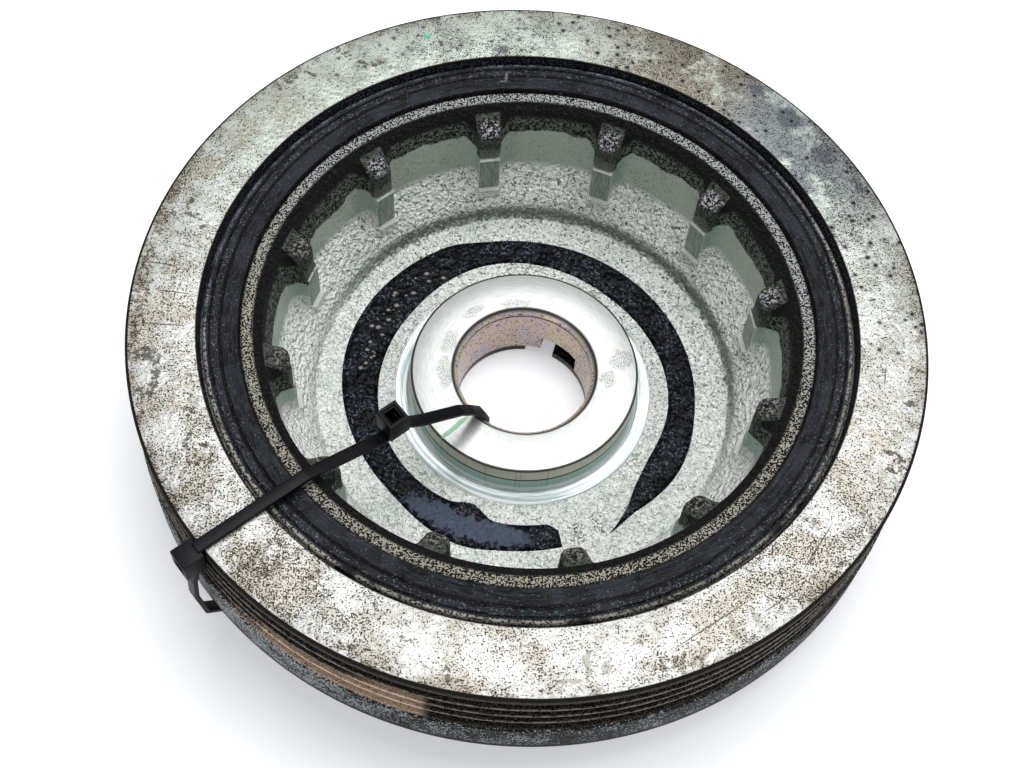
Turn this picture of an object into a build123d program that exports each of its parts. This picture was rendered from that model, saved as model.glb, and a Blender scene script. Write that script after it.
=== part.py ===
from build123d import *
import math
import os

# Crankshaft harmonic balancer: a cast hub, a rubber ring and a grooved inertia ring, with a
# band of black sealer on the hub floor and the two linked cable ties it is stored with.
# Millimetres. The crank axis is +Z, z = 0 is the rear end of the hub boss, and azimuths are
# degrees clockwise from +Y, seen from the front.

# Inertia ring
ring_depth = 13.7
ring_width = 26.7
face_height = 38.7
ring_edge_bevel = 0.6
flange_lip = 0.5
flange_width = 10.7
flange_chamfer = 1.0
groove_count = 4
groove_pitch = 3.56
groove_angle = 40.0
groove_crest_flat = 0.6
groove_root_flat = 0.9
first_groove_depth_from_face = 3.3

# Rubber ring
rubber_width = 8.0
rubber_front_setback = 1.3
rubber_rear_setback = 1.6
rubber_bead_radius = 0.55
rubber_bead_flat = 0.5
rubber_bead_inset = 1.5
rubber_edge_gap = 0.9
rubber_gap_depth = 1.2
rubber_seam_depth = 0.35
rubber_seam_inset = 3.4
strip_inner_inset = 1.2
strip_width = 3.1
strip_height = 0.25
strip_start = 60.0
strip_end = 198.7

# Hub
hub_rim_radius = 56.8
hub_rim_width = 2.5
hub_rim_setback = 2.3
hub_rear_setback = 1.2
hub_wall = 4.6
cone_width = 1.8
cone_drop = 1.0
pocket_floor_height = 18.5
pocket_draft = 1.5
terrace_width = 6.2
terrace_foot_height = 10.9
floor_step_width = 1.2
floor_height = 7.8
web_thickness = 4.8
web_corner = 2.0
floor_fillet = 0.8
pocket_foot_fillet = 2.5
cup_fillet = 3.0
collar_radius = 23.8
collar_height = 16.0
collar_base_fillet = 1.0
collar_line_height = 12.0
collar_line_depth = 0.25
spot_face_radius = 27.2
spot_face_depth = 0.2
boss_radius = 20.0
bore_radius = 14.0
bore_chamfer = 1.4
edge_break = 0.3

# Ribs of the hub cup
rib_count = 12
rib_azimuth = 16.1
rib_width = 4.6
rib_depth = 5.15
rib_face_top = 25.2
rib_cast_setback = 0.3
rib_nose_radius = 1.6
rib_nose_drop = 2.4
rib_ledge_height = 15.7
rib_ledge_width = 0.65
rib_root_depth = 1.1
pocket_corner_radius = 2.8

# Rear lip of the bore
lip_height = 2.1
drive_slot_width = 6.3
drive_slot_azimuths = (12.0, 219.0)
window_top = 6.5
window_depth = 3.2
window_start = 13.0
window_end = 51.0

# Sealer band on the hub floor: azimuths, and shares of the way from spot face to floor edge
sealer_thickness = 0.6
sealer_inner_edge = (
    (163.2, 0.390), (167.0, 0.287), (186.0, 0.274), (196.5, 0.116), (206.0, 0.207), (240.0, 0.238),
    (300.0, 0.189), (345.0, 0.293), (400.0, 0.177), (452.0, 0.244), (476.0, 0.220), (489.0, 0.305),
    (498.5, 0.476),
)
sealer_tail = (507.5, 0.634)
sealer_outer_edge = (
    (497.0, 0.555), (489.0, 0.604), (475.0, 0.640), (450.0, 0.591), (400.0, 0.604), (345.0, 0.665),
    (330.0, 0.750), (285.0, 0.732), (225.0, 0.598), (196.0, 0.701), (181.0, 0.640), (163.4, 0.616),
)

# Cable ties: both lie in one upright plane, offset from the crank axis
tie_azimuth = 227.2
tie_offset = 2.8
strap_width = 2.5
strap_thickness = 1.0
strap_clearance = 0.15
head_width = 4.6
head_length = 4.4
head_height = 5.2
head_edge_chamfer = 0.35
inner_head_reach = 35.4
inner_head_top = 40.6
outer_head_gap = 0.1
outer_head_rise = 0.6

# How the straps run
strap_bend = 0.95
strap_entry = 0.3
strap_bore_gap = 0.2
strap_under_gap = 0.4
strap_face_gap = 0.05
strap_rear_drop = 3.2
strap_corner = 1.6
strap_side_gap = 1.3
strap_climb = 3.8
strap_tuck = 1.2
strap_neck = 1.0
strap_fall = ((0.167, 0.268), (0.430, 0.453), (0.699, 0.642), (0.849, 0.805))


def polar(azimuth, radius):
    """The plan point at an azimuth clockwise from +Y."""
    angle = math.radians(azimuth)
    return (radius * math.sin(angle), radius * math.cos(angle))


def turned(outline, rounded=()):
    """A solid of revolution from a (radius, height) outline, with (corner, radius) roundings."""
    profile = make_face(Polyline(*outline, close=True))
    for corner, radius in rounded:
        nearest = profile.vertices().sort_by_distance(Vector(*corner, 0))[0]
        profile = fillet(nearest, radius)
    return revolve(Plane.XZ * profile, Axis.Z)


def sector_face(inner, outer, start, end):
    """A flat ring segment between two azimuths."""
    middle = (start + end) / 2
    return make_face(
        [
            ThreePointArc(polar(start, inner), polar(middle, inner), polar(end, inner)),
            Line(polar(end, inner), polar(end, outer)),
            ThreePointArc(polar(end, outer), polar(middle, outer), polar(start, outer)),
            Line(polar(start, outer), polar(start, inner)),
        ]
    )


def annular_sector(inner, outer, start, end, low, high):
    """A ring segment between two azimuths and two heights."""
    return Pos(0, 0, low) * extrude(sector_face(inner, outer, start, end), high - low)


# Heights that several pieces share
ring_rear = face_height - ring_width
ring_bore_radius = hub_rim_radius + rubber_width
ring_radius = ring_bore_radius + ring_depth
flange_radius = ring_radius + flange_lip
hub_rear = ring_rear + hub_rear_setback
rubber_rear = ring_rear + rubber_rear_setback
rubber_front = face_height - rubber_front_setback
web_rear = floor_height - web_thickness
pocket_top_radius = hub_rim_radius - hub_rim_width - cone_width
hub_rim_height = face_height - hub_rim_setback
pocket_top_height = hub_rim_height - cone_drop
pocket_foot_radius = pocket_top_radius - pocket_draft
terrace_foot_radius = pocket_foot_radius - terrace_width
floor_radius = terrace_foot_radius - floor_step_width
rib_face_radius = pocket_top_radius - rib_depth
rib_nose_height = pocket_top_height - rib_nose_drop


def inertia_ring():
    """Heavy ring with a ribbed-belt seat and a plain rear flange."""
    flank = math.tan(math.radians(groove_angle / 2))
    groove_mouth = groove_pitch - groove_crest_flat
    groove_depth = (groove_mouth - groove_root_flat) / 2 / flank
    root_radius = ring_radius - groove_depth
    outline = [
        (ring_bore_radius, ring_rear + edge_break),
        (ring_bore_radius, face_height - edge_break),
        (ring_bore_radius + edge_break, face_height),
        (ring_radius - ring_edge_bevel, face_height),
        (ring_radius, face_height - ring_edge_bevel),
    ]
    for index in range(groove_count):
        middle = face_height - first_groove_depth_from_face - index * groove_pitch
        outline += [
            (ring_radius, middle + groove_mouth / 2),
            (root_radius, middle + groove_root_flat / 2),
            (root_radius, middle - groove_root_flat / 2),
            (ring_radius, middle - groove_mouth / 2),
        ]
    outline += [
        (ring_radius, ring_rear + flange_width + edge_break),
        (flange_radius, ring_rear + flange_width - edge_break),
        (flange_radius, ring_rear + flange_chamfer),
        (flange_radius - flange_chamfer, ring_rear),
        (ring_bore_radius + edge_break, ring_rear),
    ]
    return turned(outline)


def rubber_ring():
    """Elastomer ring between hub rim and inertia ring, with a raised moulded strip."""
    seam_radius = ring_bore_radius - rubber_seam_inset
    bead_radius = ring_bore_radius - rubber_bead_inset
    valley = rubber_front - rubber_bead_radius
    body = turned(
        [
            (hub_rim_radius, rubber_rear),
            (ring_bore_radius, rubber_rear),
            (ring_bore_radius, rubber_front - rubber_gap_depth),
            (ring_bore_radius - rubber_edge_gap, rubber_front - rubber_gap_depth),
            (ring_bore_radius - rubber_edge_gap, valley),
            (bead_radius + rubber_bead_radius, valley),
            (bead_radius + rubber_bead_flat / 2, rubber_front),
            (bead_radius - rubber_bead_flat / 2, rubber_front),
            (bead_radius - rubber_bead_radius, valley),
            (seam_radius + rubber_seam_depth, valley),
            (seam_radius, valley - rubber_seam_depth),
            (seam_radius - rubber_seam_depth, rubber_front),
            (hub_rim_radius + rubber_seam_depth, rubber_front),
            (hub_rim_radius, rubber_front - rubber_gap_depth),
        ]
    )
    inner = hub_rim_radius + strip_inner_inset
    strip = annular_sector(
        inner, inner + strip_width, strip_start, strip_end, rubber_front, rubber_front + strip_height
    )
    strip = fillet(strip.edges().filter_by(Axis.Z), strip_width * 0.3)
    return body + strip


def terrace_height(radius):
    """Height of the sloping terrace between the hub floor and the pocket walls."""
    rise = (pocket_floor_height - terrace_foot_height) / (pocket_foot_radius - terrace_foot_radius)
    return terrace_foot_height + (radius - terrace_foot_radius) * rise


def hub_blank():
    """The hub without its ribs: boss, collar, floor, terrace, cup wall and rim."""
    floor_edge = (floor_radius, floor_height)
    terrace_edge = (terrace_foot_radius, terrace_foot_height)
    pocket_foot = (pocket_foot_radius, pocket_floor_height)
    cup_shoulder = (pocket_foot_radius + hub_wall * 0.6, hub_rear)
    cup_knee = (terrace_foot_radius + hub_wall, terrace_foot_height - hub_wall)
    cup_corner = (floor_radius + hub_wall * 0.7, web_rear)
    spot_height = floor_height - spot_face_depth
    outline = [
        (bore_radius, 0),
        (bore_radius, collar_height - bore_chamfer),
        (bore_radius + bore_chamfer, collar_height),
        (collar_radius - edge_break, collar_height),
        (collar_radius, collar_height - edge_break),
        (collar_radius, collar_line_height + collar_line_depth),
        (collar_radius - collar_line_depth, collar_line_height),
        (collar_radius, collar_line_height - collar_line_depth),
        (collar_radius, spot_height + collar_base_fillet),
        (collar_radius + collar_base_fillet, spot_height),
        (spot_face_radius - spot_face_depth, spot_height),
        (spot_face_radius, floor_height),
        floor_edge,
        terrace_edge,
        pocket_foot,
        (pocket_top_radius, pocket_top_height),
        (hub_rim_radius - hub_rim_width, hub_rim_height),
        (hub_rim_radius - edge_break, hub_rim_height),
        (hub_rim_radius, hub_rim_height - edge_break),
        (hub_rim_radius, hub_rear + edge_break),
        (hub_rim_radius - edge_break, hub_rear),
        cup_shoulder,
        cup_knee,
        cup_corner,
        (boss_radius + edge_break, web_rear),
        (boss_radius, web_rear - edge_break),
        (boss_radius, edge_break),
        (boss_radius - edge_break, 0),
    ]
    rounded = [
        (floor_edge, floor_fillet),
        (terrace_edge, floor_fillet),
        (pocket_foot, pocket_foot_fillet),
        (cup_shoulder, cup_fillet),
        (cup_knee, cup_fillet),
        (cup_corner, web_corner),
    ]
    return turned(outline, rounded)


def pocket_plan():
    """Plan of the hollow between two neighbouring ribs, centred on azimuth 0."""
    half_pitch = math.radians(180 / rib_count)

    def on_rib_side(radius, hand):
        angle = half_pitch - math.asin(rib_width / 2 / radius)
        return (hand * radius * math.sin(angle), radius * math.cos(angle))

    near = rib_face_radius * 0.9
    far = pocket_top_radius
    plan = make_face(
        [
            Line(on_rib_side(near, -1), on_rib_side(near, 1)),
            Line(on_rib_side(near, 1), on_rib_side(far, 1)),
            ThreePointArc(on_rib_side(far, 1), (0, far), on_rib_side(far, -1)),
            Line(on_rib_side(far, -1), on_rib_side(near, -1)),
        ]
    )
    return fillet(plan.vertices().group_by(Axis.Y)[-1], pocket_corner_radius)


def rib():
    """One rib of the cup on azimuth 0, flared into the wall behind it."""
    cast_face = rib_face_radius + rib_cast_setback
    ledge_radius = rib_face_radius - rib_ledge_width
    foot_radius = ledge_radius - rib_cast_setback
    root_radius = pocket_top_radius + rib_root_depth
    corner = (cast_face, rib_nose_height)
    outline = [
        (foot_radius, terrace_height(foot_radius) - rib_root_depth),
        (ledge_radius, rib_ledge_height),
        (rib_face_radius, rib_ledge_height),
        (rib_face_radius, rib_face_top),
        (cast_face, rib_face_top + rib_cast_setback),
        corner,
        (pocket_top_radius, pocket_top_height),
        (root_radius, pocket_top_height),
        (root_radius, pocket_floor_height),
    ]
    section = turned(outline, [(corner, rib_nose_radius)])
    half_pitch = 180 / rib_count
    hollow = pocket_plan()
    plan = sector_face(foot_radius - rib_root_depth, root_radius, -half_pitch, half_pitch)
    plan -= Rot(0, 0, half_pitch) * hollow
    plan -= Rot(0, 0, -half_pitch) * hollow
    return section & extrude(plan, hub_rim_height)


def drive_slot(azimuth):
    """A parallel slot across the rear end of the boss."""
    length = boss_radius * 1.2
    slot = Box(drive_slot_width, length, lip_height, align=(Align.CENTER, Align.MIN, Align.MIN))
    return Rot(0, 0, -azimuth) * slot


def hub():
    """One-piece cast and turned hub."""
    one_rib = rib()
    pitch = 360 / rib_count
    ribs = [Rot(0, 0, -(rib_azimuth + index * pitch)) * one_rib for index in range(rib_count)]
    casting = hub_blank() + ribs
    window = annular_sector(
        bore_radius - bore_chamfer,
        bore_radius + window_depth,
        window_start,
        window_end,
        lip_height,
        window_top,
    )
    slots = [drive_slot(azimuth) for azimuth in drive_slot_azimuths]
    return casting - window - slots


def on_floor(azimuth, share):
    """The plan point at a share of the way from the spot face to the floor's edge."""
    return polar(azimuth, spot_face_radius + (floor_radius - spot_face_radius) * share)


def sealer_band():
    """Black sealer brushed on the hub floor in one open ring with a pointed tail."""
    inner = [on_floor(*point) for point in sealer_inner_edge]
    outer = [on_floor(*point) for point in sealer_outer_edge]
    tail = on_floor(*sealer_tail)
    outline = make_face(
        [
            Spline(*inner),
            Line(inner[-1], tail),
            Line(tail, outer[0]),
            Spline(*outer),
            Line(outer[-1], inner[0]),
        ]
    )
    return Pos(0, 0, floor_height) * extrude(outline, sealer_thickness)


tie_direction = Vector(*polar(tie_azimuth, 1), 0)
tie_normal = tie_direction.cross(Vector(0, 0, 1))
tie_plane = Plane(origin=tie_normal * -tie_offset, x_dir=tie_direction, z_dir=tie_normal)


def tie_reach(radius):
    """How far out along the ties' plane the far edge of a strap crosses a given radius."""
    far_edge = tie_offset + strap_width / 2
    return math.sqrt(radius**2 - far_edge**2)


def strap(points, bend):
    """A flat strap bent along a chain of (reach, height) points in the ties' plane."""
    path = tie_plane * FilletPolyline(*points, radius=bend)
    across = Plane(path @ 0, x_dir=tie_normal, z_dir=path % 0)
    return sweep(across * Rectangle(strap_width, strap_thickness), path=path)


def tie_block(reaches, heights, width):
    """A block in the ties' plane between two reaches and two heights."""
    middle = (sum(reaches) / 2, sum(heights) / 2)
    block = Box(reaches[1] - reaches[0], heights[1] - heights[0], width)
    return tie_plane * Pos(*middle, 0) * block


def tie_head(reaches, heights):
    """A tie's head, with its edges broken."""
    block = tie_block(reaches, heights, head_width)
    return chamfer(block.edges(), head_edge_chamfer)


# Reaches and heights that both ties share
inner_head = (inner_head_reach - head_length / 2, inner_head_reach + head_length / 2)
inner_head_low = inner_head_top - head_height
outer_head_near = ring_radius + outer_head_gap
outer_head = (outer_head_near, outer_head_near + head_length)
outer_head_top = face_height + outer_head_rise
outer_head_low = outer_head_top - head_height
slot_width = strap_width + 2 * strap_clearance
slot_height = strap_thickness + 2 * strap_clearance
outer_slot_reach = outer_head_near + head_length * 0.3
outer_window_height = outer_head_top - head_height * 0.45


def inner_tie():
    """The tie whose head lies over the hub and whose strap runs down the bore and under."""
    head = tie_head(inner_head, (inner_head_low, inner_head_top))
    slot = tie_block(
        (inner_head_reach - slot_height / 2, inner_head_reach + slot_height / 2),
        (inner_head_low - strap_neck, inner_head_top + strap_neck),
        slot_width,
    )
    half_strap = strap_thickness / 2
    bore_run = tie_reach(bore_radius) - half_strap - strap_bore_gap
    under = half_strap + strap_under_gap
    neck = (inner_head[0] - strap_neck, inner_head_low + strap_neck / 2)
    mouth = (bore_run + strap_neck, collar_height + strap_neck)
    fall = [
        (neck[0] + (mouth[0] - neck[0]) * out, neck[1] + (mouth[1] - neck[1]) * down)
        for out, down in strap_fall
    ]
    points = [
        (inner_head[0] + strap_entry, inner_head_low + strap_neck * 1.6),
        neck,
        *fall,
        mouth,
        (bore_run, collar_height - bore_chamfer - half_strap),
        (bore_run, under),
        (boss_radius + strap_corner, under),
        (floor_radius + strap_width, under + half_strap),
        (ring_bore_radius + ring_depth * 0.38, ring_rear - 1.2 * strap_rear_drop),
        (flange_radius - strap_corner, ring_rear - strap_rear_drop),
        (flange_radius + strap_side_gap + half_strap, ring_rear + half_strap),
        (outer_slot_reach + strap_bore_gap, ring_rear + flange_width - strap_corner),
        (outer_slot_reach, outer_head_low - strap_neck),
        (outer_slot_reach, outer_window_height),
        (outer_head[1] - strap_entry, outer_window_height),
    ]
    return head + strap(points, strap_bend) - slot


def outer_tie():
    """The tie whose head hangs on the rim and whose strap runs across the front face."""
    head = tie_head(outer_head, (outer_head_low, outer_head_top))
    half_slot = slot_height / 2
    entry = tie_block(
        (outer_slot_reach - half_slot, outer_slot_reach + half_slot),
        (outer_head_low - strap_neck, outer_window_height + half_slot),
        slot_width,
    )
    mouth = tie_block(
        (outer_slot_reach - half_slot, outer_head[1] + strap_neck),
        (outer_window_height - half_slot, outer_window_height + half_slot),
        slot_width,
    )
    half_strap = strap_thickness / 2
    over_face = face_height + half_strap + strap_face_gap
    points = [
        (outer_head[0] + half_strap, over_face),
        (tie_reach(hub_rim_radius) - strap_corner, over_face),
        (inner_head_reach + strap_climb, inner_head_low - strap_thickness),
        (inner_head_reach, inner_head_low - half_strap - strap_tuck),
        (inner_head_reach, inner_head_top - half_strap),
    ]
    return head + strap(points, strap_bend) - entry - mouth


pieces = {
    "inertia_ring": inertia_ring,
    "rubber_ring": rubber_ring,
    "hub": hub,
    "sealer_band": sealer_band,
    "cable_tie_inner": inner_tie,
    "cable_tie_outer": outer_tie,
}

os.makedirs("parts", exist_ok=True)
for name, build in pieces.items():
    shape = build()
    shape.label = name
    export_step(shape, f"parts/{name}.step")
    print(name, shape.is_valid, len(shape.solids()), round(shape.volume))
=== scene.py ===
import bpy
import math
import random
from mathutils import Matrix, Vector


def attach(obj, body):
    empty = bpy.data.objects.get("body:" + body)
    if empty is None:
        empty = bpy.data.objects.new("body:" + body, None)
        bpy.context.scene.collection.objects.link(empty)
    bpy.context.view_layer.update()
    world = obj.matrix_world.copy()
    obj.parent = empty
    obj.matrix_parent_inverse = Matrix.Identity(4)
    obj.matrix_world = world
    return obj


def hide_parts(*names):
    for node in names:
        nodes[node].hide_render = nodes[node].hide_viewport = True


# Harmonic balancer: cast hub, rubber ring, grooved outer ring, sealer and two cable ties.
# Sizes are in millimetres. Azimuths are degrees clockwise from +Y, seen from the front.

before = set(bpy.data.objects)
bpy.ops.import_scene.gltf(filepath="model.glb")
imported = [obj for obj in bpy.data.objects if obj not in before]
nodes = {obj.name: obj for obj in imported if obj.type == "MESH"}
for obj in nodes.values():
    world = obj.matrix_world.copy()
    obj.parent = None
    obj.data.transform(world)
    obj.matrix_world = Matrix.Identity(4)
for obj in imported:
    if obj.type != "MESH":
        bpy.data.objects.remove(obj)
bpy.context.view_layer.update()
mm = 0.001
mergeDistance = 0.004
bpy.ops.object.select_all(action="DESELECT")
print("frame loaded:", sorted(nodes))


def polar(azimuth, radius, height=0.0):
    angle = math.radians(azimuth)
    return Vector((radius * math.sin(angle), radius * math.cos(angle), height))


def filleted(corners, arcSteps=5):
    # corners are (radius, height, fillet); a fillet of 0 keeps the corner sharp
    points = []
    for index, (radius, height, fillet) in enumerate(corners):
        here = Vector((radius, height))
        if fillet == 0 or index in (0, len(corners) - 1):
            points.append(here)
            continue
        before = (Vector(corners[index - 1][:2]) - here).normalized()
        after = (Vector(corners[index + 1][:2]) - here).normalized()
        half = before.angle(after) / 2
        reach = fillet / math.tan(half)
        centre = here + (before + after).normalized() * fillet / math.sin(half)
        start = (here + before * reach - centre).normalized()
        end = (here + after * reach - centre).normalized()
        for step in range(arcSteps + 1):
            points.append(centre + start.slerp(end, step / arcSteps) * fillet)
    return points


def spaced(points, spacing):
    # the same line with points at most one spacing apart
    line = [points[0]]
    for start, end in zip(points, points[1:]):
        count = max(1, math.ceil((end - start).length / spacing))
        line += [start.lerp(end, step / count) for step in range(1, count + 1)]
    return line


def lengthsAlong(points):
    lengths = [0.0]
    for start, end in zip(points, points[1:]):
        lengths.append(lengths[-1] + (end - start).length)
    return lengths


def resampled(points, count):
    # count + 1 points, evenly spaced along the line
    lengths = lengthsAlong(points)
    line = []
    index = 0
    for step in range(count + 1):
        target = lengths[-1] * step / count
        while index < len(points) - 2 and lengths[index + 1] < target:
            index += 1
        run = lengths[index + 1] - lengths[index]
        line.append(points[index].lerp(points[index + 1], (target - lengths[index]) / run))
    return line


view = {
    "place": (-2.36, -161.19, 299.95),
    "tilt": 29.01,      # from straight down, about X
    "roll": 5.04,
    "lens": 54.95,
}
studio = {
    "floorSize": 6.0,
    "floorColor": (0.86, 0.87, 0.89, 1.0),
    "floorGlow": (0.38, 0.385, 0.40, 1.0),      # as the camera and reflections see it
    "glowReach": (350.0, 1500.0),
    "skyLight": 0.36,
    "skyShine": 0.45,
    "patternRadius": 70.0,          # where a pattern that follows the ring keeps its scale
    "lamps": (                      # place in metres, size, watts
        ("ceilingLamp", (0.08, 0.24, 1.0), 0.75, 7.6),
        ("sideLamp", (0.75, 0.1, 0.6), 0.4, 1.2),
        ("frontLamp", (-0.6, -0.75, 0.5), 0.5, 1.2),
    ),
}


def placeCamera():
    # the camera looks down, so it is tilted from straight down and rolled about its own axis
    data = bpy.data.cameras.new("camera")
    data.lens = view["lens"]
    data.sensor_width = 36.0
    data.clip_start = 0.01
    camera = bpy.data.objects.new("camera", data)
    bpy.context.scene.collection.objects.link(camera)
    tilt = Matrix.Rotation(math.radians(view["tilt"]), 4, "X")
    roll = Matrix.Rotation(math.radians(view["roll"]), 4, "Z")
    camera.matrix_world = Matrix.Translation(Vector(view["place"]) * mm) @ tilt @ roll
    bpy.context.scene.camera = camera


def placeLamps():
    for name, place, size, watts in studio["lamps"]:
        data = bpy.data.lights.new(name, "AREA")
        data.shape = "DISK"
        data.size = size
        data.energy = watts
        lamp = bpy.data.objects.new(name, data)
        lamp.location = place
        lamp.rotation_euler = (-Vector(place)).to_track_quat("-Z", "Y").to_euler()
        bpy.context.scene.collection.objects.link(lamp)


def tone(code):
    # a colour as it looks on screen, such as "c8c4b8", as linear values
    channels = [int(code[index:index + 2], 16) / 255 for index in (0, 2, 4)]
    return (*[((c + 0.055) / 1.055) ** 2.4 if c > 0.04 else c / 12.92 for c in channels], 1.0)


class Value:
    # a socket with arithmetic: each operator adds its Math node to the finish
    def __init__(self, finish, socket):
        self.finish = finish
        self.socket = socket

    def maths(self, operation, *terms):
        return self.finish.node("Math", {"operation": operation}, dict(enumerate(terms)))

    def __add__(self, other):
        return self.maths("ADD", self, other)

    def __sub__(self, other):
        return self.maths("SUBTRACT", self, other)

    def __rsub__(self, other):
        return self.maths("SUBTRACT", other, self)

    def __mul__(self, other):
        return self.maths("MULTIPLY", self, other)

    def __pow__(self, other):
        return self.maths("POWER", self, other)

    __radd__ = __add__
    __rmul__ = __mul__

    def size(self):
        return self.maths("ABSOLUTE", self)

    def atMost(self, other):
        return self.maths("MINIMUM", self, other)

    def atLeast(self, other):
        return self.maths("MAXIMUM", self, other)

    def under(self, mask, colour):
        # this colour, with another laid over it where the mask is 1
        return self.finish.mix(mask, self, colour)


class Finish:
    # one procedural material, worked out on object coordinates in millimetres
    def __init__(self, name, **fixed):
        self.material = bpy.data.materials.new(name)
        self.material.use_nodes = True
        self.nodes = self.material.node_tree.nodes
        self.links = self.material.node_tree.links
        self.nodes.clear()
        self.shader = self.nodes.new("ShaderNodeBsdfPrincipled")
        output = self.nodes.new("ShaderNodeOutputMaterial")
        self.links.new(self.shader.outputs[0], output.inputs[0])
        self.shake = None
        for socket, value in fixed.items():
            self.shader.inputs[socket.replace("_", " ")].default_value = value
        metres = self.node("TexCoord", output="Object")
        self.place = self.node("VectorMath", {"operation": "SCALE"}, {0: metres, "Scale": 1 / mm})
        self.x, self.y, self.height = [
            self.node("SeparateXYZ", {}, {0: self.place}, axis) for axis in ("X", "Y", "Z")
        ]
        self.radius = (self.x * self.x + self.y * self.y) ** 0.5
        turn = self.x.maths("ARCTAN2", self.x, self.y) * (180 / math.pi)
        self.azimuth = turn.maths("FLOORED_MODULO", turn, 360.0)

    def node(self, kind, settings=None, inputs=None, output=0):
        # inputs are numbers, values to link, or colour codes
        made = self.nodes.new("ShaderNode" + kind)
        for key, value in (settings or {}).items():
            setattr(made, key, value)
        for key, value in (inputs or {}).items():
            if isinstance(value, Value):
                self.links.new(value.socket, made.inputs[key])
            else:
                made.inputs[key].default_value = tone(value) if isinstance(value, str) else value
        return Value(self, made.outputs[output])

    def step(self, value, low, high):
        # 0 below low and 1 above high, with a smooth rise between
        limits = {"Value": value, "From Min": low, "From Max": high}
        return self.node("MapRange", {"interpolation_type": "SMOOTHSTEP"}, limits)

    def band(self, value, low, high, soft):
        rise = self.step(value, low - soft, low + soft)
        return rise * (1 - self.step(value, high - soft, high + soft))

    def noise(self, scale, detail, roughness, place=None, distortion=0.0):
        inputs = {
            "Vector": place or self.place,
            "Scale": scale,
            "Detail": detail,
            "Roughness": roughness,
            "Distortion": distortion,
        }
        return self.node("TexNoise", {}, inputs)

    def cells(self, scale):
        return self.node("TexVoronoi", {}, {"Vector": self.place, "Scale": scale}, "Distance")

    def strokes(self, scale, width, distortion=0.8):
        # fine wavy lines: where a noise passes its middle
        fromMiddle = (self.noise(scale, 2, 0.5, distortion=distortion) - 0.5).size()
        return self.step(fromMiddle, width * 1.5, width * 0.5)

    def stretched(self, along, across, up):
        # coordinates that follow the ring: tangential, radial and height, each with its own scale
        parts = {
            "X": self.azimuth * (math.radians(1) * studio["patternRadius"] * along),
            "Y": self.radius * across,
            "Z": self.height * up,
        }
        return self.node("CombineXYZ", {}, parts)

    def blot(self, place, azimuth, radius, along, across, turn):
        # 1 in an ellipse on the ring: along is its half length round it, across towards the axis
        centre = polar(azimuth, radius)
        inputs = {
            "Vector": place,
            "Location": (centre.x, centre.y, 0.0),
            "Rotation": (0.0, 0.0, -math.radians(azimuth + turn)),
            "Scale": (along, across, 10000.0),
        }
        local = self.node("Mapping", {"vector_type": "TEXTURE"}, inputs)
        away = self.node("VectorMath", {"operation": "LENGTH"}, {0: local}, "Value")
        return self.step(away, 1.1, 0.75)

    def blots(self, marks, wobble):
        # the union of several marks, their edges ragged by about wobble millimetres
        if self.shake is None:
            inputs = {"Vector": self.place, "Scale": 0.75, "Detail": 1.0}
            noise = self.node("TexNoise", {}, inputs, "Color")
            middle = (0.5, 0.5, 0.5)
            self.shake = self.node("VectorMath", {"operation": "SUBTRACT"}, {0: noise, 1: middle})
        shift = {0: self.shake, "Scale": wobble * 2}
        offset = self.node("VectorMath", {"operation": "SCALE"}, shift)
        place = self.node("VectorMath", {"operation": "ADD"}, {0: self.place, 1: offset})
        union = None
        for mark in marks:
            one = self.blot(place, *mark)
            union = one if union is None else union.atLeast(one)
        return union

    def mix(self, factor, first, second):
        # the first colour at 0, the second at 1
        inputs = {0: factor, 6: first, 7: second}
        return self.node("Mix", {"data_type": "RGBA"}, inputs, 2)

    def bump(self, height, distance, strength):
        # height is in 0..1, distance is what 1 stands for, in millimetres
        inputs = {"Height": height, "Distance": distance * mm, "Strength": strength}
        return self.node("Bump", {}, inputs)

    def feed(self, **sockets):
        for name, value in sockets.items():
            self.links.new(value.socket, self.shader.inputs[name.replace("_", " ")])
        return self.material


def floorMaterial():
    finish = Finish("paleFloor", Roughness=0.9)
    finish.shader.inputs["Base Color"].default_value = studio["floorColor"]
    rays = ("Is Camera Ray", "Is Glossy Ray", "Is Transmission Ray")
    camera, glossy, through = [finish.node("LightPath", output=ray) for ray in rays]
    seen = camera.atLeast(glossy).atLeast(through)
    # far away, where the lamps don't reach, the floor shines as white as the backdrop
    far = finish.step(finish.radius, *studio["glowReach"])
    glow = finish.mix(far, studio["floorGlow"], (1.0, 1.0, 1.0, 1.0))
    shade = finish.mix(seen, (0.0, 0.0, 0.0, 1.0), glow)
    finish.shader.inputs["Emission Strength"].default_value = 1.0
    return finish.feed(Emission_Color=shade)


def buildStudio():
    bpy.ops.mesh.primitive_plane_add(size=studio["floorSize"])
    floor = bpy.context.object
    floor.name = "floor"
    floor.data.materials.append(floorMaterial())
    world = bpy.data.worlds.new("studio")
    world.use_nodes = True
    tree = world.node_tree
    background = tree.nodes["Background"]
    background.inputs["Color"].default_value = (1.0, 1.0, 1.0, 1.0)
    path = tree.nodes.new("ShaderNodeLightPath")
    level = studio["skyLight"]
    # a white backdrop for the camera, a weaker sky on the object and in its reflections
    for ray, strength in (("Is Glossy Ray", studio["skyShine"]), ("Is Camera Ray", 1.0)):
        change = tree.nodes.new("ShaderNodeMix")
        change.inputs[3].default_value = strength
        tree.links.new(path.outputs[ray], change.inputs[0])
        if isinstance(level, float):
            change.inputs[2].default_value = level
        else:
            tree.links.new(level, change.inputs[2])
        level = change.outputs[0]
    tree.links.new(level, background.inputs["Strength"])
    bpy.context.scene.world = world
    bpy.context.scene.view_settings.view_transform = "Standard"


placeCamera()
placeLamps()
buildStudio()
print("camera, floor and light placed")


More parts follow.
